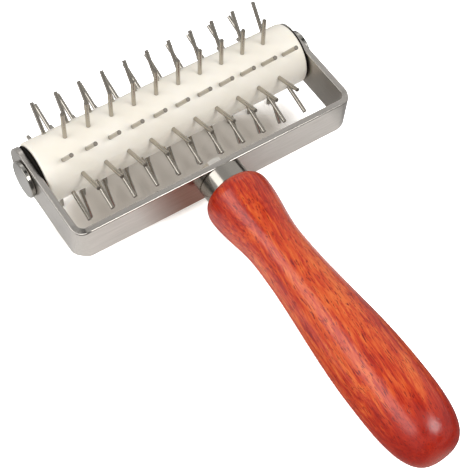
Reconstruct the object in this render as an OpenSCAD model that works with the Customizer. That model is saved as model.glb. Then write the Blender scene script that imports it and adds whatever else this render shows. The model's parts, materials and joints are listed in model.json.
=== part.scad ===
// Dough docker: a pinned roller turning on an axle in a bent steel strap, with a turned wooden handle.
// X runs along the axle, the handle points along -Y, +Z is up, and the part stands on its lowest pins.

/* [Frame strap] */
// Width over the outer faces of the two arms
frame_w = 133; // [110:0.5:160]
// Thickness of the strap
strap_t = 2.8; // [1.8:0.1:3.2]
// Width of the strap, up and down
strap_w = 17.6; // [15:0.1:21]
// Distance from the axle's centre to the web's outer face
web_reach = 40.6; // [39:0.1:48]
// Inside radius of the two bends
bend_r = 3.2; // [2.5:0.1:5]
// How far the centre of each arm's round end lies past the axle
end_reach = 5.2; // [2:0.1:8]
// Radius that breaks the strap's outer edges
edge_out_r = 0.9; // [0.3:0.05:1.1]
// Radius that breaks the strap's inner edges
edge_in_r = 0.4; // [0.2:0.05:0.6]

/* [Axle] */
// Diameter of the axle's barrel
axle_d = 8; // [6:0.1:9]
// Diameter of the two flat heads
head_d = 16; // [13:0.1:17]
// Thickness of the two flat heads
head_t = 2.3; // [1.8:0.1:3]
// Radius that breaks both rims of each head
head_edge = 0.45; // [0.1:0.05:0.6]
// Diameter of the screw that closes the axle
screw_d = 5; // [4:0.1:5.5]
// Length of that screw under its head
screw_len = 14; // [10:0.5:20]
// Width of the screwdriver slot
slot_w = 1.6; // [1:0.1:2]
// Depth of the screwdriver slot
slot_depth = 1.1; // [0.6:0.1:1.4]
// Thickness of the black thrust discs beside the roller
disc_t = 0.6; // [0.3:0.1:1.2]
// Diameter of the thrust discs
disc_d = 25.2; // [20:0.1:26]

/* [Roller] */
// Diameter of the roller
roller_d = 27.3; // [26:0.1:31]
// Radius that breaks the roller's two rims
roller_edge = 1.05; // [0.3:0.05:1.2]
// Diameter of the long bore that clears the axle
core_bore_d = 9; // [8.6:0.1:9.4]
// Outer diameter of the two bushings
bushing_d = 12; // [10.5:0.1:13]
// Length of each bushing
bushing_len = 12; // [6:0.5:18]

/* [Pins] */
// Diameter of a pin
pin_d = 1.8; // [1.4:0.1:2.2]
// Length of a pin outside the roller
pin_out = 13.6; // [9:0.1:14]
// Depth of a pin inside the roller
pin_in = 5; // [3:0.1:5.5]
// Height of the bevel on a pin's tip
pin_bevel = 0.25; // [0.1:0.05:0.5]
// Distance between neighbouring pins of one row
pin_pitch = 10.65; // [9:0.05:11]
// Number of pins in a long row; the rows between hold one fewer
pins_long = 11; // [7:1:11]
// Angle of the first row above the direction of the handle
first_row = 57.5; // [36:0.5:72]

/* [Handle] */
// Outer diameter of the ferrule
ferrule_d = 20.4; // [18:0.1:22]
// Length of the ferrule
ferrule_len = 7.6; // [5:0.1:10]
// Wall of the ferrule
ferrule_wall = 1.4; // [1:0.1:2]
// Radius that breaks both rims of the ferrule
ferrule_edge = 0.4; // [0.1:0.05:0.6]
// Length of the handle behind the ferrule
handle_len = 135.3; // [120:0.1:150]
// Diameter of the shoulder beside the ferrule
shoulder_d = 28.2; // [25:0.1:31]
// Distance from the handle's front to the top of its shoulder
shoulder_at = 6; // [4:0.1:9]
// Diameter of the waist
waist_d = 22.6; // [20:0.1:25]
// Distance from the handle's front to its waist
waist_at = 32.5; // [25:0.1:40]
// Diameter of the swell
swell_d = 30.7; // [27:0.1:34]
// Distance from the handle's front to its swell
swell_at = 99.5; // [90:0.1:108]

/* [Tang] */
// Diameter of the threaded tang
tang_d = 6; // [5:0.1:7]
// Depth of the tang in the handle
tang_depth = 70; // [40:1:90]
// Width of the tang's nut across its flats
nut_flats = 10; // [9:0.1:12]
// Thickness of the nut
nut_t = 4.4; // [3:0.1:4.8]
// Height of the bevel on the nut's free face
nut_bevel = 0.7; // [0.3:0.1:1]
// Length of tang that shows past the nut
tang_proud = 0.6; // [0.2:0.1:1]

/* [Fits] */
// Radial running clearance of the bushings on the axle
run_gap = 0.05; // [0.02:0.01:0.1]
// Radial clearance where one fixed piece sits in another
seat_gap = 0.05; // [0.02:0.01:0.1]
// Free play between the roller and each thrust disc
side_play = 0.3; // [0.1:0.05:0.4]

/* [Hidden] */
$fn = 64;
pin_fn = 24;
rows = 10;
row_step = 360 / rows;
bend_out = bend_r + strap_t;
inner_half = frame_w / 2 - strap_t;
roller_half = inner_half - disc_t - side_play;
roller_r = roller_d / 2;
tip_r = roller_r + pin_out;
front_y = -(web_reach + ferrule_len);
nut_y = -(web_reach - strap_t);
tenon_r = ferrule_d / 2 - ferrule_wall - seat_gap;
front_r = ferrule_d / 2 + seat_gap;
swell_exp = 3.2;
curve_n = 14;
cut = 1;

// How far a pin's tip reaches along a direction that lies "off" degrees from the pin
function tip_reach(off) = tip_r * cos(off) + (pin_d / 2 - pin_bevel) * abs(sin(off));
// Angle of row k, from the handle's direction up towards +Z
function row_angle(k) = first_row + row_step * k;
pin_drop = max([for (k = [0:rows - 1]) tip_reach(row_angle(k) + 90)]);
pin_back = max([for (k = [0:rows - 1]) tip_reach(row_angle(k) - 180)]);
arm_back = end_reach + strap_w / 2;
axle_z = max(pin_drop, swell_d / 2);
axle_y = (web_reach + ferrule_len + handle_len - max(pin_back, arm_back)) / 2;

// Moves a piece drawn about the axle's centre to its place above the surface
module at_axle() {
    translate([0, axle_y, axle_z]) children();
}

// Turns a shape drawn along +Z so that it runs along +X
module along_x() {
    rotate([0, 90, 0]) children();
}

// Turns a shape drawn along +Z so that it runs along -Y
module along_handle() {
    rotate([90, 0, 0]) children();
}

// Section of the strap: its width along Y, and its thickness along X with the outer face at +X
module strap_section() {
    flat_t = strap_t - edge_in_r - edge_out_r;
    translate([edge_in_r - strap_t / 2, -strap_w / 2]) square([flat_t, strap_w]);
    translate([-strap_t / 2, edge_in_r - strap_w / 2]) square([strap_t / 2, strap_w - 2 * edge_in_r]);
    translate([0, edge_out_r - strap_w / 2]) square([strap_t / 2, strap_w - 2 * edge_out_r]);
    for (side = [-1, 1]) {
        translate([edge_in_r - strap_t / 2, side * (strap_w / 2 - edge_in_r)]) circle(r = edge_in_r);
        translate([strap_t / 2 - edge_out_r, side * (strap_w / 2 - edge_out_r)]) circle(r = edge_out_r);
    }
}

// The same section with its outer face at -X
module turned_section() {
    mirror([1, 0]) strap_section();
}

// Half of the turned section, for the round end of an arm
module half_section() {
    intersection() {
        turned_section();
        translate([-strap_t, 0]) square([2 * strap_t, strap_w]);
    }
}

// One arm with its round end and its bend, on the side of +X
module strap_side() {
    arm_x = frame_w / 2 - strap_t / 2;
    bend_x = frame_w / 2 - bend_out;
    bend_y = -(web_reach - bend_out);
    translate([arm_x, end_reach, 0])
        rotate([90, 0, 0]) linear_extrude(end_reach - bend_y) strap_section();
    translate([arm_x, end_reach, 0])
        rotate([0, 90, 0]) rotate_extrude(angle = 180) rotate(-90) half_section();
    translate([bend_x, bend_y, 0])
        rotate(-90) rotate_extrude(angle = 90)
            translate([bend_out - strap_t / 2, 0]) strap_section();
}

// Flat bar bent to a U, with two axle holes and one hole for the tang
module frame_strap() {
    color("#b9b5ae") at_axle() difference() {
        union() {
            strap_side();
            mirror([1, 0, 0]) strap_side();
            translate([-(frame_w / 2 - bend_out), -(web_reach - strap_t / 2), 0])
                rotate([90, 0, 90]) linear_extrude(frame_w - 2 * bend_out) turned_section();
        }
        translate([-frame_w, 0, 0]) along_x() cylinder(h = 2 * frame_w, d = axle_d + 2 * seat_gap);
        translate([0, nut_y + strap_t, 0])
            along_handle() cylinder(h = 3 * strap_t, d = tang_d + 2 * seat_gap);
    }
}

// Flat disc with both rims broken, rising from z = 0
module head_disc() {
    rotate_extrude() {
        square([head_d / 2 - head_edge, head_t]);
        translate([0, head_edge]) square([head_d / 2, head_t - 2 * head_edge]);
        for (z = [head_edge, head_t - head_edge])
            translate([head_d / 2 - head_edge, z]) circle(r = head_edge);
    }
}

// Axle barrel with its flat head on the left, tapped at its right end
module axle_post() {
    color("#c9c7c3") at_axle() difference() {
        union() {
            translate([-frame_w / 2, 0, 0]) rotate([0, -90, 0]) head_disc();
            translate([-frame_w / 2, 0, 0]) along_x() cylinder(h = frame_w, d = axle_d);
        }
        translate([frame_w / 2 - screw_len - cut, 0, 0])
            along_x() cylinder(h = screw_len + 2 * cut, d = screw_d + 2 * seat_gap);
    }
}

// Flat-headed screw that closes the axle on the right
module axle_screw() {
    color("#c9c7c3") at_axle() difference() {
        union() {
            translate([frame_w / 2, 0, 0]) along_x() head_disc();
            translate([frame_w / 2 - screw_len, 0, 0])
                along_x() cylinder(h = screw_len + head_t / 2, d = screw_d);
        }
        translate([frame_w / 2 + head_t - slot_depth, -head_d, -slot_w / 2])
            cube([head_t, 2 * head_d, slot_w]);
    }
}

// Thin black disc between the inner face of an arm and the end of the roller
module thrust_disc(side) {
    color("#24211f") at_axle() mirror([side < 0 ? 1 : 0, 0, 0])
        translate([inner_half - disc_t, 0, 0]) along_x() difference() {
            cylinder(h = disc_t, d = disc_d);
            translate([0, 0, -cut]) cylinder(h = disc_t + 2 * cut, d = axle_d + 2 * seat_gap);
        }
}

// Where the pins of row k stand along the axle
function pin_places(k) = let (n = pins_long - k % 2) [for (i = [0:n - 1]) (i - (n - 1) / 2) * pin_pitch];

// Puts its children at each pin of row k, with +Z pointing out of the roller
module at_pins(k) {
    for (x = pin_places(k)) rotate([90 - row_angle(k), 0, 0]) translate([x, 0, 0]) children();
}

// Plastic roller with a long bore, two counterbores and a blind hole for each pin
module roller_core() {
    color("#f3ede0") at_axle() difference() {
        translate([-roller_half, 0, 0]) along_x() rotate_extrude() {
            translate([0, roller_edge]) square([roller_r, 2 * (roller_half - roller_edge)]);
            square([roller_r - roller_edge, 2 * roller_half]);
            for (z = [roller_edge, 2 * roller_half - roller_edge])
                translate([roller_r - roller_edge, z]) circle(r = roller_edge);
        }
        translate([-frame_w / 2, 0, 0]) along_x() cylinder(h = frame_w, d = core_bore_d);
        for (side = [-1, 1]) mirror([side < 0 ? 1 : 0, 0, 0])
            translate([roller_half - bushing_len, 0, 0])
                along_x() cylinder(h = 2 * bushing_len, d = bushing_d + 2 * seat_gap);
        for (k = [0:rows - 1]) at_pins(k)
            translate([0, 0, roller_r - pin_in]) cylinder(h = 2 * pin_in, d = pin_d + 2 * seat_gap, $fn = pin_fn);
    }
}

// Plain bushing in an end of the roller
module bushing(side) {
    color("#e9e4d6") at_axle() mirror([side < 0 ? 1 : 0, 0, 0])
        translate([roller_half - bushing_len, 0, 0]) along_x() difference() {
            cylinder(h = bushing_len, d = bushing_d);
            translate([0, 0, -cut]) cylinder(h = bushing_len + 2 * cut, d = axle_d + 2 * run_gap);
        }
}

// One row of straight steel pins
module pin_row(k) {
    color("#a9a399") at_axle() at_pins(k) translate([0, 0, roller_r - pin_in]) {
        cylinder(h = pin_in + pin_out - pin_bevel, d = pin_d, $fn = pin_fn);
        translate([0, 0, pin_in + pin_out - pin_bevel])
            cylinder(h = pin_bevel, d1 = pin_d, d2 = pin_d - 2 * pin_bevel, $fn = pin_fn);
    }
}

// Polished ring between the web and the handle
module ferrule() {
    color("#d5d3cf") at_axle() translate([0, -web_reach, 0]) along_handle() rotate_extrude() {
        translate([ferrule_d / 2 - ferrule_wall, 0]) square([ferrule_wall - ferrule_edge, ferrule_len]);
        translate([ferrule_d / 2 - ferrule_wall, ferrule_edge])
            square([ferrule_wall, ferrule_len - 2 * ferrule_edge]);
        for (z = [ferrule_edge, ferrule_len - ferrule_edge])
            translate([ferrule_d / 2 - ferrule_edge, z]) circle(r = ferrule_edge);
    }
}

// Threaded rod from the nut through the web into the handle
module tang_rod() {
    color("#bfbcb6") at_axle() translate([0, nut_y + nut_t + tang_proud, 0])
        along_handle() cylinder(h = nut_t + tang_proud + strap_t + ferrule_len + tang_depth, d = tang_d);
}

// Hexagon nut on the inner face of the web, one flat facing up
module tang_nut() {
    color("#c9c7c3") at_axle() translate([0, nut_y + nut_t, 0]) along_handle() difference() {
        intersection() {
            cylinder(h = nut_t, d = nut_flats / cos(30), $fn = 6);
            union() {
                cylinder(h = nut_bevel, d1 = nut_flats - nut_bevel, d2 = nut_flats / cos(30));
                translate([0, 0, nut_bevel]) cylinder(h = nut_t, d = nut_flats / cos(30));
            }
        }
        translate([0, 0, -cut]) cylinder(h = nut_t + 2 * cut, d = tang_d + 2 * seat_gap);
    }
}

// Smooth step from a to b as u goes from 0 to 1
function ease(a, b, u) = a + (b - a) * (1 - cos(180 * u)) / 2;

// Outline of the handle: distance from its front, and radius
function shoulder_curve() = let (r1 = shoulder_d / 2)
    [for (i = [0:curve_n]) let (a = 90 * i / curve_n)
        [shoulder_at * (1 - cos(a)), front_r + (r1 - front_r) * sin(a)]];
function neck_curve() = [for (i = [1:curve_n]) let (u = i / curve_n)
    [shoulder_at + (waist_at - shoulder_at) * u, ease(shoulder_d, waist_d, u) / 2]];
function swell_curve() = [for (i = [1:curve_n]) let (u = i / curve_n)
    [waist_at + (swell_at - waist_at) * u, ease(waist_d, swell_d, u) / 2]];
function end_curve() = [for (i = [1:curve_n]) let (a = 90 * i / curve_n)
    [swell_at + (handle_len - swell_at) * pow(sin(a), 2 / swell_exp),
        swell_d / 2 * pow(max(cos(a), 0), 2 / swell_exp)]];

// Turned wooden handle with a tenon for the ferrule and a blind hole for the tang
module handle() {
    outline = concat(shoulder_curve(), neck_curve(), swell_curve(), end_curve());
    color("#c8441f") at_axle() translate([0, front_y, 0]) along_handle() difference() {
        union() {
            rotate_extrude() polygon(concat([[0, 0]], [for (p = outline) [p[1], p[0]]]));
            translate([0, 0, seat_gap - ferrule_len]) cylinder(h = ferrule_len, r = tenon_r);
        }
        translate([0, 0, -2 * ferrule_len])
            cylinder(h = 2 * ferrule_len + tang_depth, d = tang_d + 2 * seat_gap);
    }
}

frame_strap();
axle_post();
axle_screw();
thrust_disc(-1);  // thrust_disc_left
thrust_disc(1);  // thrust_disc_right
roller_core();
bushing(-1);  // bushing_left
bushing(1);  // bushing_right
pin_row(0);  // pin_row_01
pin_row(1);  // pin_row_02
pin_row(2);  // pin_row_03
pin_row(3);  // pin_row_04
pin_row(4);  // pin_row_05
pin_row(5);  // pin_row_06
pin_row(6);  // pin_row_07
pin_row(7);  // pin_row_08
pin_row(8);  // pin_row_09
pin_row(9);  // pin_row_10
ferrule();
tang_rod();
tang_nut();
handle();
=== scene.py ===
# %% [markdown]
# This lesson dresses a dough docker: a pinned roller in a bent steel strap, with a turned wooden handle.
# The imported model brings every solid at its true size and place. Blender adds the finishes, the softer
# turned forms, the light and the camera.

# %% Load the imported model
import json
import math

import bmesh
import bpy
from mathutils import Matrix, Vector


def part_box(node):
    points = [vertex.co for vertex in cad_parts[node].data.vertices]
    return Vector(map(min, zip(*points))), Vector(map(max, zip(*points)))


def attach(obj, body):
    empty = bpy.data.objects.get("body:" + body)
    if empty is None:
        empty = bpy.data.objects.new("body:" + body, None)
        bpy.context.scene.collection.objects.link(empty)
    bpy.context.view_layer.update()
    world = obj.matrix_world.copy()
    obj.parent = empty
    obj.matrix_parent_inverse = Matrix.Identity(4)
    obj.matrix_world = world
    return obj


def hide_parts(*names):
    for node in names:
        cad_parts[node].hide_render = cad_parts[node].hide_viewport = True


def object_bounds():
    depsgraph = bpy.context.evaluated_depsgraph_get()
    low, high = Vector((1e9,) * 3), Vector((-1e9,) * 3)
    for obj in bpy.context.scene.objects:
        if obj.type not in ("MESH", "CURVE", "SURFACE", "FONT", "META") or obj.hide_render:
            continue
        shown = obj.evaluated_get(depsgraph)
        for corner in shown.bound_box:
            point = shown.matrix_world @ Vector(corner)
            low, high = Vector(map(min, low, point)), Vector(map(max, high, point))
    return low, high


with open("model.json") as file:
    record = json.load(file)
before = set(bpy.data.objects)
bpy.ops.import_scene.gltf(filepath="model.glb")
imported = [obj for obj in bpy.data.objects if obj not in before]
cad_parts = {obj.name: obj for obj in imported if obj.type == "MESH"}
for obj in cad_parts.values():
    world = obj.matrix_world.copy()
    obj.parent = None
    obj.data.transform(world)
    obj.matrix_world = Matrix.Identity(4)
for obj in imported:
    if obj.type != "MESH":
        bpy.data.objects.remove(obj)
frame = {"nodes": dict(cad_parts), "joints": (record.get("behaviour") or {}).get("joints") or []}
cad_box = [list(corner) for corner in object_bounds()]
MM = 0.001
print("CAD nodes:", len(frame["nodes"]), "box in mm:", [round((b - a) / MM, 1) for a, b in zip(*cad_box)])

# %% [markdown]
# The sizes that the later cells need are measured on the CAD nodes, so that every new piece fits them.
# The axle's centre is the joint's own position, and the ends of the handle come from its box.

# %% Measure the frame
axle = Vector(frame["joints"][0]["pos_m"])
strap_low, strap_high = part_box("frame_strap")
strap_half_w = (strap_high.z - strap_low.z) / 2
arm_out_x, web_front_y = strap_high.x, strap_low.y
roller_low, roller_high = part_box("roller_core")
roller_r = (roller_high.z - roller_low.z) / 2
ferrule_low, ferrule_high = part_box("ferrule")
ferrule_r = (ferrule_high.x - ferrule_low.x) / 2
handle_low, handle_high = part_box("handle")
handle_front_y, handle_end_y = ferrule_low.y, handle_low.y
handle_len = handle_front_y - handle_end_y
tang_low, tang_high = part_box("tang_rod")
seat_gap = 0.05 * MM
tang_hole_r = (tang_high.x - tang_low.x) / 2 + seat_gap
print("axle at", [round(v / MM, 2) for v in axle], "mm; handle behind the ferrule is",
      round(handle_len / MM, 1), "mm long")

# %% [markdown]
# Colours are written as sRGB hex values, as a paint chart gives them, and one function turns them to the
# linear values that the shaders work in. One more small function adds a node with its settings and links.

# %% Colour and node helpers
def linear(hex_colour):
    """A hex colour such as #c8441f as linear red, green and blue, with an alpha of 1."""
    parts = [int(hex_colour[i:i + 2], 16) / 255 for i in (1, 3, 5)]
    return [p / 12.92 if p <= 0.04045 else ((p + 0.055) / 1.055) ** 2.4 for p in parts] + [1.0]


def grey(value):
    """A neutral linear colour."""
    return [value, value, value, 1.0]


def add_node(tree, kind, inputs=None, stops=None, **settings):
    """One node. An input is a value, or the output socket of another node; stops fill a colour ramp."""
    made = tree.nodes.new(kind)
    for name, value in settings.items():
        setattr(made, name, value)
    for name, value in (inputs or {}).items():
        if isinstance(value, bpy.types.NodeSocket):
            tree.links.new(value, made.inputs[name])
        else:
            made.inputs[name].default_value = value
    if stops:
        ramp = made.color_ramp
        ramp.elements[0].position, ramp.elements[0].color = stops[0]
        ramp.elements[1].position, ramp.elements[1].color = stops[-1]
        for position, colour in stops[1:-1]:
            ramp.elements.new(position).color = colour
    return made


def new_material(name, **constants):
    """A material with one Principled shader, whose constants are set on its own sockets."""
    material = bpy.data.materials.new(name)
    material.use_nodes = True
    tree = material.node_tree
    shader = tree.nodes["Principled BSDF"]
    for socket, value in constants.items():
        shader.inputs[socket.replace("_", " ")].default_value = value
    print("material", name)
    return material, tree, shader


# %% [markdown]
# Scratches, wood fibres and pores are all long fine marks that run one way. A noise that is stretched along
# one axis draws them all, and its two scales come from how wide and how long a real mark is.

# %% Long fine marks
X_AXIS, Y_AXIS = 0, 1


def long_marks(tree, across_mm, along_mm, along_axis, position):
    """Noise stretched along one axis, from a mark's width and length in millimetres."""
    scale = [1000 / across_mm] * 3
    scale[along_axis] = 1000 / along_mm
    stretched = add_node(tree, "ShaderNodeVectorMath", {0: position, 1: scale}, operation="MULTIPLY")
    return add_node(tree, "ShaderNodeTexNoise", {"Vector": stretched.outputs[0], "Scale": 1.0,
                                                 "Detail": 3.0, "Roughness": 0.6}).outputs["Fac"]


# %% [markdown]
# The strap is 304 stainless, bent from flat bar and belt-finished. The belt leaves fine scratches along the
# bar, so highlights blur across them. The scratches run along X on the web and along Y on the two arms, so
# two stretched noises are mixed by how far a point lies from the middle. Real scratches are about 0.05 mm
# apart, too fine for the render, so they are drawn at 0.35 mm. The web's outer face is the show side and is
# finished on a finer belt, so it mirrors the handle more clearly than the arms mirror the room. The broken
# edges are rubbed to one even sheen.

# %% Belt-finished stainless steel
bend_out = 6.0 * MM
scratch_w_mm, scratch_len_mm = 0.35, 14.0
edge_roughness, show_roughness = 0.24, 0.15


def make_satin_steel():
    material, tree, shader = new_material("belt_finished_304_stainless", Metallic=1.0, Roughness=0.3)
    position = add_node(tree, "ShaderNodeTexCoord").outputs["Object"]
    split = add_node(tree, "ShaderNodeSeparateXYZ", {0: position})
    from_middle = add_node(tree, "ShaderNodeMath", {0: split.outputs["X"]}, operation="ABSOLUTE")
    bend_at = arm_out_x - bend_out
    on_arm = add_node(tree, "ShaderNodeMapRange", {
        "Value": from_middle.outputs[0], "From Min": bend_at, "From Max": bend_at + 4 * MM}).outputs[0]
    web_lines = long_marks(tree, scratch_w_mm, scratch_len_mm, X_AXIS, position)
    arm_lines = long_marks(tree, scratch_w_mm, scratch_len_mm, Y_AXIS, position)
    lines = add_node(tree, "ShaderNodeMix", {"Factor": on_arm, "A": web_lines, "B": arm_lines}).outputs[0]
    tint = add_node(tree, "ShaderNodeValToRGB", {"Fac": lines},
                    stops=[(0.3, linear("#a8a39c")), (0.7, linear("#bcb7b1"))])
    tree.links.new(tint.outputs["Color"], shader.inputs["Base Color"])

    belt = add_node(tree, "ShaderNodeMapRange", {"Value": lines, "To Min": 0.24, "To Max": 0.36})
    height = add_node(tree, "ShaderNodeMath", {0: split.outputs["Z"], 1: axle.z}, operation="SUBTRACT")
    off_middle = add_node(tree, "ShaderNodeMath", {0: height.outputs[0]}, operation="ABSOLUTE")
    on_edge = add_node(tree, "ShaderNodeMapRange", {
        "Value": off_middle.outputs[0], "From Min": strap_half_w - 0.75 * MM,
        "From Max": strap_half_w - 0.35 * MM}).outputs[0]
    rubbed = add_node(tree, "ShaderNodeMix", {"Factor": on_edge, "A": belt.outputs[0], "B": edge_roughness})
    on_show = add_node(tree, "ShaderNodeMapRange", {
        "Value": split.outputs["Y"], "From Min": web_front_y + 3.5 * MM,
        "From Max": web_front_y + 0.05 * MM}).outputs[0]
    finish = add_node(tree, "ShaderNodeMix", {"Factor": on_show, "A": rubbed.outputs[0], "B": show_roughness})
    tree.links.new(finish.outputs[0], shader.inputs["Roughness"])
    bump = add_node(tree, "ShaderNodeBump", {"Height": lines, "Strength": 0.10, "Distance": 0.02 * MM})
    tree.links.new(bump.outputs[0], shader.inputs["Normal"])
    return material


satin_steel = make_satin_steel()

# %% [markdown]
# The ferrule and the two axle heads are turned on a lathe and polished on a wheel. Polished steel mirrors the
# room, and the wheel leaves it only faintly uneven, in marks about 0.6 mm across. The heads are polished
# further than the ferrule, so the same maker serves both with its own tint and its own range of roughness.

# %% Polished turned steel
wheel_mark_mm = 0.6


def make_polished_steel(name, tint_hex, finest, coarsest):
    material, tree, shader = new_material(name, Metallic=1.0, Roughness=0.15, Base_Color=linear(tint_hex))
    position = add_node(tree, "ShaderNodeTexCoord").outputs["Object"]
    marks = long_marks(tree, wheel_mark_mm, wheel_mark_mm, Y_AXIS, position)
    rough = add_node(tree, "ShaderNodeMapRange", {"Value": marks, "To Min": finest, "To Max": coarsest})
    tree.links.new(rough.outputs[0], shader.inputs["Roughness"])
    return material


ferrule_steel = make_polished_steel("polished_turned_steel", "#a09b93", 0.14, 0.22)
head_steel = make_polished_steel("turned_steel_heads", "#9d9a94", 0.10, 0.18)

# %% [markdown]
# The pins are cut from drawn stainless wire. Drawing leaves a bright skin, a little duller than polish and
# uneven along the wire. The cut ends are tumbled afterwards, which leaves them matt and grey. An end is found
# by its distance from the axle, so the same material serves every pin wherever it points.

# %% Drawn stainless wire
pin_out = 13.6 * MM
pin_tip_r = roller_r + pin_out
skin_scale = 120.0


def make_pin_steel():
    material, tree, shader = new_material("drawn_stainless_wire", Metallic=1.0, Roughness=0.2)
    position = add_node(tree, "ShaderNodeTexCoord").outputs["Object"]
    from_axle = add_node(tree, "ShaderNodeVectorMath", {0: position, 1: axle}, operation="SUBTRACT")
    across = add_node(tree, "ShaderNodeVectorMath", {0: from_axle.outputs[0], 1: (0, 1, 1)},
                      operation="MULTIPLY")
    out = add_node(tree, "ShaderNodeVectorMath", {0: across.outputs[0]}, operation="LENGTH").outputs["Value"]
    cut_end = add_node(tree, "ShaderNodeMapRange", {
        "Value": out, "From Min": pin_tip_r - 0.35 * MM, "From Max": pin_tip_r - 0.2 * MM}).outputs[0]
    patches = add_node(tree, "ShaderNodeTexNoise", {"Vector": position, "Scale": skin_scale, "Detail": 2.0})
    skin = add_node(tree, "ShaderNodeMapRange", {
        "Value": patches.outputs["Fac"], "To Min": 0.16, "To Max": 0.3})
    rough = add_node(tree, "ShaderNodeMix", {"Factor": cut_end, "A": skin.outputs[0], "B": 0.6})
    tree.links.new(rough.outputs[0], shader.inputs["Roughness"])
    tint = add_node(tree, "ShaderNodeMix", {
        "Factor": cut_end, "A": linear("#b3ada3"), "B": linear("#857f76")}, data_type="RGBA")
    tree.links.new(tint.outputs["Result"], shader.inputs["Base Color"])
    return material


pin_steel = make_pin_steel()

# %% [markdown]
# The nut and the threaded rod are zinc plated. Plating is bright and a little cloudy, in clouds of 1 to 2 mm.

# %% Zinc-plated steel
def make_zinc():
    material, tree, shader = new_material("zinc_plated_steel", Metallic=1.0, Roughness=0.28)
    position = add_node(tree, "ShaderNodeTexCoord").outputs["Object"]
    clouds = add_node(tree, "ShaderNodeTexNoise", {"Vector": position, "Scale": 600.0, "Detail": 3.0})
    tint = add_node(tree, "ShaderNodeValToRGB", {"Fac": clouds.outputs["Fac"]},
                    stops=[(0.35, linear("#dcd7ce")), (0.65, linear("#e8e3da"))])
    tree.links.new(tint.outputs["Color"], shader.inputs["Base Color"])
    return material


zinc = make_zinc()

# %% [markdown]
# The roller is turned from cream acetal, and its two bushings are moulded from a plainer grade. Acetal is a
# slightly waxy plastic: light goes about a millimetre in, red the deepest, which softens the shading, and the
# surface has a dull sheen. Its colour drifts a little over some 17 mm.

# %% Cream acetal
def make_acetal(name, light_hex, dark_hex):
    material, tree, shader = new_material(name, Roughness=0.42, IOR=1.48)
    shader.inputs["Subsurface Weight"].default_value = 0.12
    shader.inputs["Subsurface Radius"].default_value = (1.2, 1.0, 0.7)
    shader.inputs["Subsurface Scale"].default_value = 1.0 * MM
    position = add_node(tree, "ShaderNodeTexCoord").outputs["Object"]
    clouds = add_node(tree, "ShaderNodeTexNoise", {"Vector": position, "Scale": 60.0, "Detail": 4.0})
    tint = add_node(tree, "ShaderNodeValToRGB", {"Fac": clouds.outputs["Fac"]},
                    stops=[(0.35, linear(dark_hex)), (0.65, linear(light_hex))])
    tree.links.new(tint.outputs["Color"], shader.inputs["Base Color"])
    return material


cream_acetal = make_acetal("turned_cream_acetal", "#f4eee2", "#f0e9db")
bushing_acetal = make_acetal("moulded_acetal", "#ebe6da", "#e4dfd1")

# %% [markdown]
# Between the roller and each arm lies a thin disc punched from black nylon sheet. It keeps a matt, slightly
# waxy face with the faint grain of the rolled sheet, about 1 mm wide.

# %% Black nylon sheet
def make_nylon():
    material, tree, shader = new_material("punched_black_nylon_sheet", Roughness=0.75, IOR=1.53,
                                          Specular_IOR_Level=0.06)
    position = add_node(tree, "ShaderNodeTexCoord").outputs["Object"]
    grain = add_node(tree, "ShaderNodeTexNoise", {"Vector": position, "Scale": 900.0, "Detail": 2.0})
    tint = add_node(tree, "ShaderNodeValToRGB", {"Fac": grain.outputs["Fac"]},
                    stops=[(0.35, linear("#0f0c09")), (0.65, linear("#1a1612"))])
    tree.links.new(tint.outputs["Color"], shader.inputs["Base Color"])
    return material


black_nylon = make_nylon()

# %% [markdown]
# The handle is hardwood, stained red and sealed with a clear lacquer. Stain sinks in unevenly: the fibres run
# in streaks from deep red to orange, and the end grain at the shoulder and the butt drinks more, so it goes
# crimson. The grain slants 6 degrees off the turning axis. Open pores show as dark dashes 2 to 5 mm long. The
# lacquer is the coat of the shader: it fills the pores only partly, so they break up its soft highlight.

# %% The figure of the wood
grain_slant_deg = 6
grain_sway = 2.2 * MM


def wood_fibres(tree, position):
    """The place along the grain: the object's own place, turned off the axis and swaying a little."""
    slant = add_node(tree, "ShaderNodeVectorRotate", {
        "Vector": position, "Angle": math.radians(grain_slant_deg)}, rotation_type="Z_AXIS").outputs[0]
    wander = add_node(tree, "ShaderNodeTexNoise", {"Vector": slant, "Scale": 55.0, "Detail": 1.0})
    sway = add_node(tree, "ShaderNodeVectorMath", {
        0: wander.outputs["Color"], 1: (grain_sway, 0, grain_sway)}, operation="MULTIPLY")
    return add_node(tree, "ShaderNodeVectorMath", {0: slant, 1: sway.outputs[0]}, operation="ADD").outputs[0]


def wood_figure(tree, fibres):
    """Broad bands, streaks and fine lines, mixed to one value from dark to light."""
    bands = long_marks(tree, 7.0, 60.0, Y_AXIS, fibres)
    streaks = long_marks(tree, 1.6, 15.0, Y_AXIS, fibres)
    fine = long_marks(tree, 0.7, 8.0, Y_AXIS, fibres)
    grain = add_node(tree, "ShaderNodeMix", {"Factor": 0.45, "A": streaks, "B": fine}).outputs[0]
    return add_node(tree, "ShaderNodeMix", {"Factor": 0.34, "A": grain, "B": bands}).outputs[0]


def end_grain(tree, position):
    """How much more stain the wood takes, from 0 along the grip to 0.75 at the butt."""
    along = add_node(tree, "ShaderNodeSeparateXYZ", {0: position}).outputs["Y"]
    near_butt = add_node(tree, "ShaderNodeMapRange", {
        "Value": along, "From Min": handle_end_y + 26 * MM, "From Max": handle_end_y + 8 * MM})
    near_front = add_node(tree, "ShaderNodeMapRange", {
        "Value": along, "From Min": handle_front_y - 46 * MM, "From Max": handle_front_y - 6 * MM,
        "To Max": 0.35})
    most = add_node(tree, "ShaderNodeMath", {0: near_butt.outputs[0], 1: near_front.outputs[0]},
                    operation="MAXIMUM")
    return add_node(tree, "ShaderNodeMath", {0: most.outputs[0], 1: 0.75}, operation="MULTIPLY").outputs[0]


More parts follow.
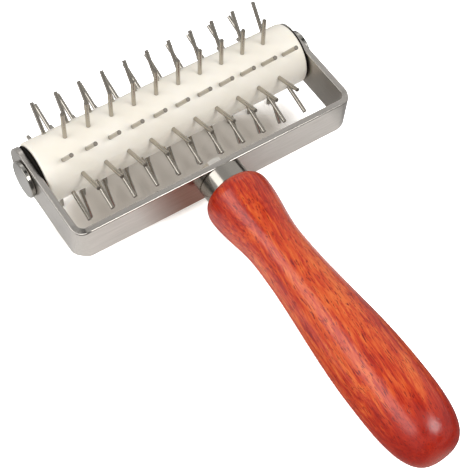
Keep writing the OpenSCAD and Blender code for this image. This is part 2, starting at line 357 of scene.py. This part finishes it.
# %% [markdown]
# The figure picks a colour on a ramp from crimson to orange. The lacquer could be a second material over the
# wood, but the coat of the same shader does it with one mesh: the wood below stays matt and has no gloss of
# its own, and only the coat is shiny and gets the pores' small relief.

# %% Lacquered hardwood
def make_wood():
    material, tree, shader = new_material("red_stained_lacquered_hardwood", Roughness=0.55, IOR=1.5,
                                          Specular_IOR_Level=0.0, Coat_Weight=0.95, Coat_Roughness=0.22,
                                          Coat_IOR=1.5)
    position = add_node(tree, "ShaderNodeTexCoord").outputs["Object"]
    fibres = wood_fibres(tree, position)
    soaked = add_node(tree, "ShaderNodeMix", {
        "Factor": end_grain(tree, position), "A": wood_figure(tree, fibres), "B": 0.35})
    tint = add_node(tree, "ShaderNodeValToRGB", {"Fac": soaked.outputs[0]}, stops=[
        (0.36, linear("#921508")), (0.43, linear("#ab260e")), (0.48, linear("#bf3b17")),
        (0.53, linear("#cd501f")), (0.59, linear("#da682e"))])
    pores = long_marks(tree, 0.42, 4.5, Y_AXIS, fibres)
    in_pore = add_node(tree, "ShaderNodeMapRange", {"Value": pores, "From Min": 0.58, "From Max": 0.615})
    stained = add_node(tree, "ShaderNodeMix", {
        "Factor": in_pore.outputs[0], "A": tint.outputs["Color"], "B": linear("#7c180a")}, data_type="RGBA")
    tree.links.new(stained.outputs["Result"], shader.inputs["Base Color"])
    relief = add_node(tree, "ShaderNodeMapRange", {
        "Value": pores, "From Min": 0.5, "From Max": 0.68, "To Min": 1.0, "To Max": 0.0}).outputs[0]
    film = add_node(tree, "ShaderNodeBump", {"Height": relief, "Strength": 0.35, "Distance": 0.05 * MM})
    tree.links.new(film.outputs[0], shader.inputs["Coat Normal"])
    return material


wood = make_wood()

# %% [markdown]
# A turned form is drawn as a lathe draws it: an outline of distance along the axis and radius, spun round.
# Blender's Screw modifier could spin it too, but here the points are set one by one, so that an outline can
# close to a point or to a ring, and the mesh stays free of doubled points.

# %% The turning helper
def lathe(name, outline, steps, place, closed=False):
    """Spins (along, radius) points round the local Z axis. An end with no radius closes to a point."""
    vertices, faces, rings = [], [], []
    for along, radius in outline:
        if radius < 1e-7:
            rings.append([len(vertices)])
            vertices.append((0, 0, along))
            continue
        rings.append(range(len(vertices), len(vertices) + steps))
        for i in range(steps):
            turn = 2 * math.pi * i / steps
            vertices.append((radius * math.cos(turn), radius * math.sin(turn), along))
    pairs = list(zip(rings, rings[1:]))
    if closed:
        pairs.append((rings[-1], rings[0]))
    for low, high in pairs:
        for i in range(steps):
            j = (i + 1) % steps
            if len(low) == 1:
                faces.append((low[0], high[j], high[i]))
            elif len(high) == 1:
                faces.append((low[i], low[j], high[0]))
            else:
                faces.append((low[i], low[j], high[j], high[i]))
    mesh = bpy.data.meshes.new(name)
    mesh.from_pydata(vertices, [], faces)
    mesh.transform(place)
    mesh.shade_smooth()
    mesh.update()
    made = bpy.data.objects.new(name, mesh)
    bpy.context.scene.collection.objects.link(made)
    return made


def broken_rim(along, outer_r, radius, start_deg, steps=6):
    """The quarter round that breaks a turned rim, as points of an outline."""
    turns = [math.radians(start_deg - 90 * i / steps) for i in range(steps + 1)]
    return [(along + radius * math.cos(turn), outer_r - radius + radius * math.sin(turn)) for turn in turns]


along_handle = Matrix.Rotation(math.radians(90), 4, "X")
along_axle = Matrix.Rotation(math.radians(90), 4, "Y")

# %% [markdown]
# Every piece made here gets its finish and then its place in the machine: the body that it rides on, and the
# CAD node that it stands for, which is hidden. Turned pieces keep crisp corners, so their smooth shading is
# broken where two faces meet at a steep angle.

# %% Dressing and shading a piece
def dress(piece, material, body, slot, *nodes):
    """Gives a piece its finish and its body, and hides the CAD nodes that it stands for. The slot is not
    used.
    """
    piece.data.materials.clear()
    piece.data.materials.append(material)
    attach(piece, body)
    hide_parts(*nodes)


def crisp(piece, sharp_deg=40):
    """Keeps turned corners sharp and flat faces flat in the shading."""
    piece.data.set_sharp_from_angle(angle=math.radians(sharp_deg))
    piece.modifiers.new("flat_faces", "WEIGHTED_NORMAL").keep_sharp = True


# %% [markdown]
# The handle swells from the ferrule to a shoulder, draws in to a waist, swells again for the palm and ends
# in a blunt round. Each stretch is one formula, the same as in the CAD model but with many more steps, so
# that the lacquer's highlight runs smoothly. In front a tenon fills the ferrule, and a bore takes the tang.

# %% The turned handle
shoulder_at, waist_at, swell_at = 6.0 * MM, 32.5 * MM, 99.5 * MM
shoulder_r, waist_r, swell_r = 14.1 * MM, 11.3 * MM, (handle_high.x - handle_low.x) / 2
end_power = 3.2
ferrule_wall = 1.4 * MM


def ease(a, b, share):
    """A smooth step from a to b as share goes from 0 to 1."""
    return a + (b - a) * (1 - math.cos(math.pi * share)) / 2


def handle_outline(steps=40):
    """Distance behind the ferrule and radius, from the bore's end to the butt."""
    bore_end, tenon_r = handle_front_y - tang_low.y, ferrule_r - ferrule_wall - seat_gap
    tenon_start, start_r = handle_front_y - handle_high.y, ferrule_r + seat_gap
    points = [(bore_end, 0.0), (bore_end, tang_hole_r), (tenon_start, tang_hole_r), (tenon_start, tenon_r),
              (0.0, tenon_r)]
    for i in range(steps + 1):
        turn = math.pi / 2 * i / steps
        points.append((shoulder_at * (1 - math.cos(turn)),
                       start_r + (shoulder_r - start_r) * math.sin(turn)))
    for i in range(1, steps + 1):
        share = i / steps
        points.append((shoulder_at + (waist_at - shoulder_at) * share, ease(shoulder_r, waist_r, share)))
    for i in range(1, 2 * steps + 1):
        share = i / (2 * steps)
        points.append((waist_at + (swell_at - waist_at) * share, ease(waist_r, swell_r, share)))
    for i in range(1, steps + 1):
        turn = math.pi / 2 * i / steps
        points.append((swell_at + (handle_len - swell_at) * math.sin(turn) ** (2 / end_power),
                       swell_r * max(math.cos(turn), 0.0) ** (2 / end_power) if i < steps else 0.0))
    return points


handle_place = Matrix.Translation((0, handle_front_y, axle.z)) @ along_handle
turned_handle = lathe("turned_handle", handle_outline(), steps=96, place=handle_place)
crisp(turned_handle)
dress(turned_handle, wood, "frame", "lacquered_wood", "handle")
print("handle faces:", len(turned_handle.data.polygons))

# %% [markdown]
# The strap is one flat bar bent twice. Bending stretches the outside of the bar, which draws its outer edge
# in, so the top and bottom of each bend slope outward a little. A bevelled curve would give the bar but not
# that slope, so the rings of points are set one by one. Each ring is half of the bar's section, from the
# middle of its inner face over one edge to the middle of its outer face.

# %% The strap's half section and its path
strap_t, edge_out, edge_in = 2.8 * MM, 0.55 * MM, 0.4 * MM
bend_draw, bend_reach = 1.15 * MM, 5.6 * MM
arm_end_y = strap_high.y - strap_half_w


def half_section(drawn):
    """(depth under the outer face, height over the middle) of the section, for 0 to 1 of the bend's draw."""
    arcs = [(strap_t - edge_in, edge_in, 0, 4), (edge_out, edge_out, 90, 8)]
    points = [(strap_t, 0.0)]
    for depth, radius, start_deg, steps in arcs:
        for i in range(steps + 1):
            turn = math.radians(start_deg + 90 * i / steps)
            points.append((depth + radius * math.cos(turn), strap_half_w - radius + radius * math.sin(turn)))
    points.append((0.0, 0.0))
    return [(d, h - drawn * bend_draw * (1 - d / strap_t) if h else h) for d, h in points]


def plan_path(straight_steps=6, bend_steps=20):
    """(outer point, inward direction, draw) from the right arm's end round to the left arm's end."""
    corner_x, corner_y = arm_out_x - bend_out, web_front_y + bend_out
    half_bend = bend_out * math.pi / 4
    past = [(bend_reach - half_bend) * i / straight_steps for i in range(straight_steps + 1)]
    quarter = [(arm_out_x, arm_end_y, -1.0, 0.0, 1.0)]
    quarter += [(arm_out_x, corner_y + p, -1.0, 0.0, (half_bend + p) / bend_reach) for p in reversed(past)]
    for i in range(1, bend_steps):
        turn = math.radians(90 * i / bend_steps)
        out_x, out_y = math.cos(turn), -math.sin(turn)
        quarter.append((corner_x + bend_out * out_x, corner_y + bend_out * out_y, -out_x, -out_y,
                        abs(2 * i / bend_steps - 1) * half_bend / bend_reach))
    quarter += [(corner_x - p, web_front_y, 0.0, 1.0, (half_bend + p) / bend_reach) for p in past]
    half = [(x, y, nx, ny, math.cos(math.pi / 2 * off_bend) ** 2) for x, y, nx, ny, off_bend in quarter]
    return half + [(-x, y, -nx, ny, drawn) for x, y, nx, ny, drawn in reversed(half)]


print("rings along the strap:", len(plan_path()), "points a ring:", len(half_section(0.0)))

# %% [markdown]
# The half section is carried once round the whole strap: along the upper edge, round the end of the left arm,
# back along the lower edge and round the right. That makes one closed skin, whose doubled middle points are
# then merged. The holes for the axle and the tang are cut afterwards, as a drill cuts them.

# %% The bent strap
axle_barrel_r = 4.0 * MM
through_arms, through_web = 200 * MM, 12 * MM


def sweep_strap(end_steps=48):
    path = plan_path()
    rings = [[(x + nx * d, y + ny * d, h) for d, h in half_section(drawn)] for x, y, nx, ny, drawn in path]
    lower = [[(x, y, -z) for x, y, z in ring] for ring in reversed(rings)]

    def round_end(side):
        turns = [math.pi * i / end_steps for i in range(1, end_steps)]
        return [[(side * (arm_out_x - d), arm_end_y + h * math.sin(turn), side * -h * math.cos(turn))
                 for d, h in half_section(0.0)] for turn in turns]

    loop = rings + round_end(-1) + lower + round_end(1)
    width = len(loop[0])
    vertices = [(x, y, z + axle.z) for ring in loop for x, y, z in ring]
    faces = []
    for k in range(len(loop)):
        here, there = k * width, (k + 1) % len(loop) * width
        faces += [(here + j, here + j + 1, there + j + 1, there + j) for j in range(width - 1)]
    mesh = bpy.data.meshes.new("bent_strap")
    mesh.from_pydata(vertices, [], faces)
    made = bpy.data.objects.new("bent_strap", mesh)
    bpy.context.scene.collection.objects.link(made)
    skin = bmesh.new()
    skin.from_mesh(mesh)
    bmesh.ops.remove_doubles(skin, verts=skin.verts, dist=0.001 * MM)
    bmesh.ops.recalc_face_normals(skin, faces=skin.faces)
    open_edges = sum(not edge.is_manifold for edge in skin.edges)
    skin.to_mesh(mesh)
    skin.free()
    print("strap faces:", len(mesh.polygons), "open edges:", open_edges)
    return made


def drill(piece, centre, axis, radius, length):
    """Cuts a round hole into a closed piece."""
    outline = [(-length / 2, 0.0), (-length / 2, radius), (length / 2, radius), (length / 2, 0.0)]
    turned = Vector(axis).to_track_quat("Z", "Y").to_matrix().to_4x4()
    cutter = lathe("cutter", outline, steps=64, place=Matrix.Translation(centre) @ turned)
    cut = piece.modifiers.new("hole", "BOOLEAN")
    cut.operation = "DIFFERENCE"
    cut.object = cutter
    drilled = bpy.data.meshes.new_from_object(piece.evaluated_get(bpy.context.evaluated_depsgraph_get()))
    piece.modifiers.clear()
    piece.data = drilled
    bpy.data.objects.remove(cutter)


bent_strap = sweep_strap()
drill(bent_strap, (0, axle.y, axle.z), (1, 0, 0), axle_barrel_r + seat_gap, through_arms)
drill(bent_strap, (0, web_front_y, axle.z), (0, 1, 0), tang_hole_r, through_web)
bent_strap.data.shade_smooth()
crisp(bent_strap, sharp_deg=38)
dress(bent_strap, satin_steel, "frame", "satin_steel", "frame_strap")
print("strap faces with its holes:", len(bent_strap.data.polygons))

# %% [markdown]
# The 105 pins stand in ten rows round the roller, eleven and ten in turn, half a step aside. Each is a
# length of wire pressed into a blind hole, so its lower 5 mm are inside the plastic. A pin is one turned
# outline with a rounded rim at its tip, set again and again along its row. A row is one mesh, because it
# stands for one CAD node.

# %% The pins
pin_r, pin_in, pin_pitch, tip_edge = 0.9 * MM, 5.0 * MM, 10.65 * MM, 0.25 * MM
first_row_deg, row_count, longest_row = 57.5, 10, 11
pin_outline = ([(-pin_in, 0.0), (-pin_in, pin_r)]
               + broken_rim(pin_out - tip_edge, pin_r, tip_edge, 90, steps=3) + [(pin_out, 0.0)])


def make_pin_row(row):
    """One row of pins, joined in a mesh, at its angle round the axle."""
    count = longest_row - row % 2
    tilt = math.radians(90 - first_row_deg - 360 / row_count * row)
    row_place = Matrix.Translation(axle) @ Matrix.Rotation(tilt, 4, "X")
    joined = bmesh.new()
    for i in range(count):
        stand = Vector(((i - (count - 1) / 2) * pin_pitch, 0, roller_r))
        pin = lathe("pin", pin_outline, steps=28, place=row_place @ Matrix.Translation(stand))
        joined.from_mesh(pin.data)
        bpy.data.objects.remove(pin)
    mesh = bpy.data.meshes.new("wire_pins")
    joined.to_mesh(mesh)
    joined.free()
    mesh.shade_smooth()
    made = bpy.data.objects.new(f"wire_pins_{row + 1:02d}", mesh)
    bpy.context.scene.collection.objects.link(made)
    crisp(made)
    dress(made, pin_steel, "roller", "pin_steel", f"pin_row_{row + 1:02d}")
    return count


pin_counts = [make_pin_row(row) for row in range(row_count)]
print("pins:", sum(pin_counts), "in", len(pin_counts), "rows")

# %% [markdown]
# The ferrule is a short steel ring that keeps the wood from splitting. It is turned again here in finer steps
# than the CAD mesh has, because polished steel shows every facet, and its rims are broken.

# %% The ferrule
ferrule_len, rim_edge = ferrule_high.y - ferrule_low.y, 0.6 * MM
ferrule_outline = ([(0.0, ferrule_r - ferrule_wall)] + broken_rim(rim_edge, ferrule_r, rim_edge, 180)
                   + broken_rim(ferrule_len - rim_edge, ferrule_r, rim_edge, 90)
                   + [(ferrule_len, ferrule_r - ferrule_wall)])
ferrule_place = Matrix.Translation((0, ferrule_high.y, axle.z)) @ along_handle
turned_ferrule = lathe("turned_ferrule", ferrule_outline, steps=128, place=ferrule_place, closed=True)
crisp(turned_ferrule)
dress(turned_ferrule, ferrule_steel, "frame", "polished_steel", "ferrule")
print("ferrule:", round(ferrule_len / MM, 1), "mm long")

# %% [markdown]
# The axle and its left head are one turned piece. The rim of its face is broken round, so it catches a line
# of light. Under the head the rim is broken more, which leaves the dark line that is seen between a head and
# the bar that it clamps. The right head belongs to the screw, which the barrel takes in its tapped end.

# %% The axle and its left head
post_low, post_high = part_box("axle_post")
head_r, head_t = (post_high.z - post_low.z) / 2, strap_low.x - post_low.x
face_edge, under_edge = 0.45 * MM, 0.8 * MM
tapped_r, tapped_depth = 2.55 * MM, 15.0 * MM
post_len = post_high.x - post_low.x
post_outline = ([(0.0, 0.0)] + broken_rim(face_edge, head_r, face_edge, 180)
                + broken_rim(head_t - under_edge, head_r, under_edge, 90)
                + [(head_t, axle_barrel_r), (post_len, axle_barrel_r), (post_len, tapped_r),
                   (post_len - tapped_depth, tapped_r), (post_len - tapped_depth, 0.0)])
post_place = Matrix.Translation((post_low.x, axle.y, axle.z)) @ along_axle
turned_post = lathe("turned_axle_post", post_outline, steps=96, place=post_place)
crisp(turned_post)
dress(turned_post, head_steel, "frame", "polished_steel", "axle_post")
print("axle:", round(post_len / MM, 1), "mm long, head", round(2 * head_r / MM, 1), "mm")

# %% [markdown]
# The CAD solids whose shape is right stay as they are, and only get a finish: the screw, the discs, the tang
# with its nut, the roller and its bushings.

# %% Finishes for the CAD nodes
finishes = {"axle_screw": head_steel, "thrust_disc_left": black_nylon, "thrust_disc_right": black_nylon,
            "tang_rod": zinc, "tang_nut": zinc, "roller_core": cream_acetal,
            "bushing_left": bushing_acetal, "bushing_right": bushing_acetal}
for name, material in finishes.items():
    for material_slot in frame["nodes"][name].material_slots:
        material_slot.material = material
print("dressed", len(finishes), "CAD nodes")

# %% [markdown]
# The tool lies on a sheet of white paper, a flat square that is far wider than the picture. Its material is
# built in the next cells, because the paper looks different to the camera, to steel and to a matt surface.

# %% The paper sheet
floor_reach, floor_gap = 6.0, 0.1 * MM
floor_corners = [(-floor_reach, -floor_reach, 0), (floor_reach, -floor_reach, 0),
                 (floor_reach, floor_reach, 0), (-floor_reach, floor_reach, 0)]
floor_mesh = bpy.data.meshes.new("floor")
floor_mesh.from_pydata(floor_corners, [], [(0, 1, 2, 3)])
floor = bpy.data.objects.new("floor", floor_mesh)
bpy.context.scene.collection.objects.link(floor)
floor.location.z = cad_box[0][2] - floor_gap
floor_material = bpy.data.materials.new("white_paper_sweep")
floor_material.use_nodes = True
floor_mesh.materials.append(floor_material)
floor_tree = floor_material.node_tree
floor_tree.nodes.remove(floor_tree.nodes["Principled BSDF"])
spot = add_node(floor_tree, "ShaderNodeTexCoord").outputs["Object"]
print("floor at", round(floor.location.z / MM, 2), "mm")

# %% [markdown]
# To the camera the paper's white is taken past full, to 2.5, so that it meets the white background, and only
# the object's deeper shadow stays. Between the web and the roller a warm shade is painted into the paper's
# colour, a painted shadow of the tool. That painted shade is a soft oval: its edge is where the distance from
# its centre, measured in its own half axes, is about 1.

# %% What the camera sees of the paper, with its painted shade
painted_shade_centre, painted_shade_half_axes = (-4 * MM, axle.y - 12 * MM, 0), (63 * MM, 20 * MM, 1.0)
from_painted_shade = add_node(floor_tree, "ShaderNodeVectorMath", {0: spot, 1: painted_shade_centre}, operation="SUBTRACT")
in_half_axes = add_node(floor_tree, "ShaderNodeVectorMath", {0: from_painted_shade.outputs[0], 1: painted_shade_half_axes},
                        operation="DIVIDE")
off_centre = add_node(floor_tree, "ShaderNodeVectorMath", {0: in_half_axes.outputs[0]}, operation="LENGTH")
# painted shade: a soft oval mask under the roller, where the tool's shadow is painted into the paper
painted_shade_mask = add_node(floor_tree, "ShaderNodeMapRange", {
    "Value": off_centre.outputs["Value"], "From Min": 0.75, "From Max": 1.25, "To Min": 1.0, "To Max": 0.0},
    interpolation_type="SMOOTHSTEP").outputs[0]
# painted shadow: the warm grey that is painted into the paper inside the oval
past_white, painted_warm_shade = grey(2.5), [0.74, 0.695, 0.635, 1.0]
seen_white = add_node(floor_tree, "ShaderNodeMix", {"Factor": painted_shade_mask, "A": past_white, "B": painted_warm_shade},
                      data_type="RGBA").outputs["Result"]
print("shade of the tool:", [round(2 * v / MM) for v in painted_shade_half_axes[:2]], "mm")

# %% [markdown]
# Steel mirrors the paper white, painted brightest just in front of the web. The mirrored white is painted
# dimmer, a painted shade in the reflections, where only the handle's lacquer mirrors it, past the right arm
# and behind the roller, and inside the tool's painted shade. Under the front of the handle a dark red is
# painted into the mirrored paper, a painted shadow and red bounce of the handle, which the web mirrors beside
# the ferrule. Each of these is a soft step along the sheet, and the steps are multiplied.

# %% What steel mirrors of the paper, with painted light and shade
def soft_steps(*steps):
    """The product of steps, each from one value to another between two places along a coordinate."""
    product = 1.0
    for coordinate, start, end, before, after in steps:
        step = add_node(floor_tree, "ShaderNodeMapRange", {
            "Value": coordinate, "From Min": start, "From Max": end, "To Min": before, "To Max": after})
        product = add_node(floor_tree, "ShaderNodeMath", {0: product, 1: step.outputs[0]},
                           operation="MULTIPLY").outputs[0]
    return product


spot_xyz = add_node(floor_tree, "ShaderNodeSeparateXYZ", {0: spot})
floor_x, floor_y = spot_xyz.outputs["X"], spot_xyz.outputs["Y"]
off_handle = add_node(floor_tree, "ShaderNodeMath", {0: floor_x}, operation="ABSOLUTE").outputs[0]
# painted reflection: the mirrored paper is painted brighter in front of the web and painted dimmer beside the
# handle, past the right arm and behind the roller
open_white = soft_steps((floor_y, web_front_y, web_front_y + 25 * MM, 1.08, 0.92),
                        (floor_y, web_front_y - 70 * MM, web_front_y - 24 * MM, 0.15, 1.0),
                        (floor_x, 72 * MM, 84 * MM, 1.0, 0.45),
                        (floor_y, axle.y + 17 * MM, axle.y + 29 * MM, 1.0, 0.68))
# painted shadow and red bounce of the handle, in the mirrored paper beside the ferrule
painted_handle_shade_mask = soft_steps((off_handle, 8 * MM, 29 * MM, 1.0, 0.0),
                          (floor_y, web_front_y - 4 * MM, web_front_y + 2 * MM, 1.0, 0.0))
# painted shade levels: 0.6 inside the tool's oval, and a dark red under the handle's front
painted_mirrored_shade, painted_red_bounce_shade = 0.6, [0.66, 0.43, 0.37, 1.0]
mirrored_white = add_node(floor_tree, "ShaderNodeMix", {
    "Factor": painted_shade_mask, "A": open_white, "B": painted_mirrored_shade})
mirrored_paper = add_node(floor_tree, "ShaderNodeMix", {
    "Factor": painted_handle_shade_mask, "A": mirrored_white.outputs[0], "B": painted_red_bounce_shade}, data_type="RGBA")
print("paper nodes so far:", len(floor_tree.nodes))

# %% [markdown]
# The kind of ray picks the colour: the camera's own rays, the rays that shiny surfaces send out, and the
# rest, which bounce light between matt surfaces and take the paper's plain white.

# %% The paper's material
floor_ray = add_node(floor_tree, "ShaderNodeLightPath")
plain_white = grey(0.9)
for_surfaces = add_node(floor_tree, "ShaderNodeMix", {
    "Factor": floor_ray.outputs["Is Glossy Ray"], "A": plain_white, "B": mirrored_paper.outputs["Result"]},
    data_type="RGBA")
paper = add_node(floor_tree, "ShaderNodeMix", {
    "Factor": floor_ray.outputs["Is Camera Ray"], "A": for_surfaces.outputs["Result"], "B": seen_white},
    data_type="RGBA")
diffuse = add_node(floor_tree, "ShaderNodeBsdfDiffuse", {"Color": paper.outputs["Result"]})
floor_tree.links.new(diffuse.outputs[0], floor_tree.nodes["Material Output"].inputs["Surface"])
print("paper nodes:", len(floor_tree.nodes))

# %% [markdown]
# The world is the studio room. The camera sees it white. Steel mirrors it, so for reflections it is drawn as
# a room is: light walls, and round patches for what stands in it. A photograph of a studio is the usual way,
# but a few patches need no picture, and each can be moved alone. The camera is dark, and stands where the
# picture is taken from, with a dark screen and a stand in front of the handle's end.

# %% World
world = bpy.data.worlds.new("studio_room")
bpy.context.scene.world = world
world.use_nodes = True
world_tree = world.node_tree
direction = add_node(world_tree, "ShaderNodeTexCoord").outputs["Generated"]
world_ray = add_node(world_tree, "ShaderNodeLightPath")


def room_patch(below, towards, core_deg, edge_deg, brightness):
    """Lays a round patch of the room over what is below it, full up to one angle and gone at another."""
    centre = Vector(towards).normalized()
    near = add_node(world_tree, "ShaderNodeVectorMath", {0: direction, 1: centre}, operation="DOT_PRODUCT")
    share = add_node(world_tree, "ShaderNodeMapRange", {
        "Value": near.outputs["Value"], "From Min": math.cos(math.radians(edge_deg)),
        "From Max": math.cos(math.radians(core_deg))}, interpolation_type="SMOOTHSTEP").outputs[0]
    return add_node(world_tree, "ShaderNodeMix", {"Factor": share, "A": below, "B": brightness}).outputs[0]


walls, ambient, background = 0.62, 0.58, 1.0
# painted reflections: these patches are seen only by reflected rays and light no matt surface; the window and
# the small lamp are painted highlights, the dark patches painted dark reflections
room = room_patch(walls, (0.75, 0.45, 0.4), 15, 50, 0.78)  # the lighter wall on the right
room = room_patch(room, (0.35, 0.74, 0.58), 7, 14, 1.6)  # a bright window behind the roller
room = room_patch(room, (-0.33, 0.14, 0.93), 9, 14, 0.03)  # dark ceiling, left of the middle
room = room_patch(room, (0.35, 0.05, 0.94), 8, 14, 0.05)  # dark ceiling, right of the middle
room = room_patch(room, (-0.35, -0.90, 0.25), 14, 24, 0.15)  # a dark screen in front, low
room = room_patch(room, (0.25, -0.85, 0.45), 8, 14, 0.05)  # a dark stand, right of the screen
room = room_patch(room, (-0.35, -0.42, 0.84), 7, 15, 0.04)  # the camera
room = room_patch(room, (0.46, -0.50, 0.73), 3, 11, 1.7)  # a small lamp beside the right soft box
lit = add_node(world_tree, "ShaderNodeMix", {
    "Factor": world_ray.outputs["Is Glossy Ray"], "A": ambient, "B": room})
strength = add_node(world_tree, "ShaderNodeMix", {
    "Factor": world_ray.outputs["Is Camera Ray"], "A": lit.outputs[0], "B": background})
world_tree.links.new(strength.outputs[0], world_tree.nodes["Background"].inputs["Strength"])
world_tree.nodes["Background"].inputs["Color"].default_value = grey(1.0)
print("world nodes:", len(world_tree.nodes))

# %% [markdown]
# Two soft boxes stand left and right of the camera, as on a copy stand. The right one is small and gives the
# pins their soft shadows; the left one is longer and draws the long highlight on the lacquer. An area lamp is
# used rather than a spot, because only a broad light gives such soft edges.

# %% Soft boxes
lit_point = Vector((0, -0.02, 0.03))
lamp_distance = 0.9


def soft_box(name, towards, size, size_y, watts):
    """An area lamp that stands in a direction from the object and faces it."""
    lamp = bpy.data.lights.new(name, "AREA")
    lamp.shape = "RECTANGLE"
    lamp.size = size
    lamp.size_y = size_y
    lamp.energy = watts
    made = bpy.data.objects.new(name, lamp)
    bpy.context.scene.collection.objects.link(made)
    out = Vector(towards).normalized()
    made.location = lit_point + out * lamp_distance
    made.rotation_mode = "QUATERNION"
    made.rotation_quaternion = out.to_track_quat("Z", "Y")
    print(name, "at", [round(v, 2) for v in made.location])


soft_box("soft_box_right", (0.27, -0.50, 0.82), size=0.42, size_y=0.32, watts=3.3)
soft_box("soft_box_left", (-0.66, 0.12, 0.66), size=1.0, size_y=0.5, watts=4.15)

# %% [markdown]
# The camera was fitted to the photograph together with the strap, the roller, the pins and the handle. It
# looks down at 57 degrees from the left of the handle, through a lens of 93 mm, tilted by 6.6 degrees. Its
# place and its axes are set straight in its matrix, because that is how such a fit gives them.

# %% Camera
camera_at = Vector((-177.11, -189.69, 428.36)) * MM
right = Vector((0.82741, -0.55810, 0.06259)).normalized()
forward = Vector((0.34762, 0.42144, -0.83758)).normalized()
up = right.cross(forward)
camera_data = bpy.data.cameras.new("camera")
camera_data.sensor_width = 36.0
camera_data.lens = 93.2
camera_data.clip_start = 0.01
camera = bpy.data.objects.new("camera", camera_data)
bpy.context.scene.collection.objects.link(camera)
camera.matrix_world = Matrix((
    (right.x, up.x, -forward.x, camera_at.x),
    (right.y, up.y, -forward.y, camera_at.y),
    (right.z, up.z, -forward.z, camera_at.z),
    (0, 0, 0, 1)))
bpy.context.scene.camera = camera
bpy.context.scene.view_settings.view_transform = "Standard"
print("camera at", [round(v / MM) for v in camera_at], "mm")
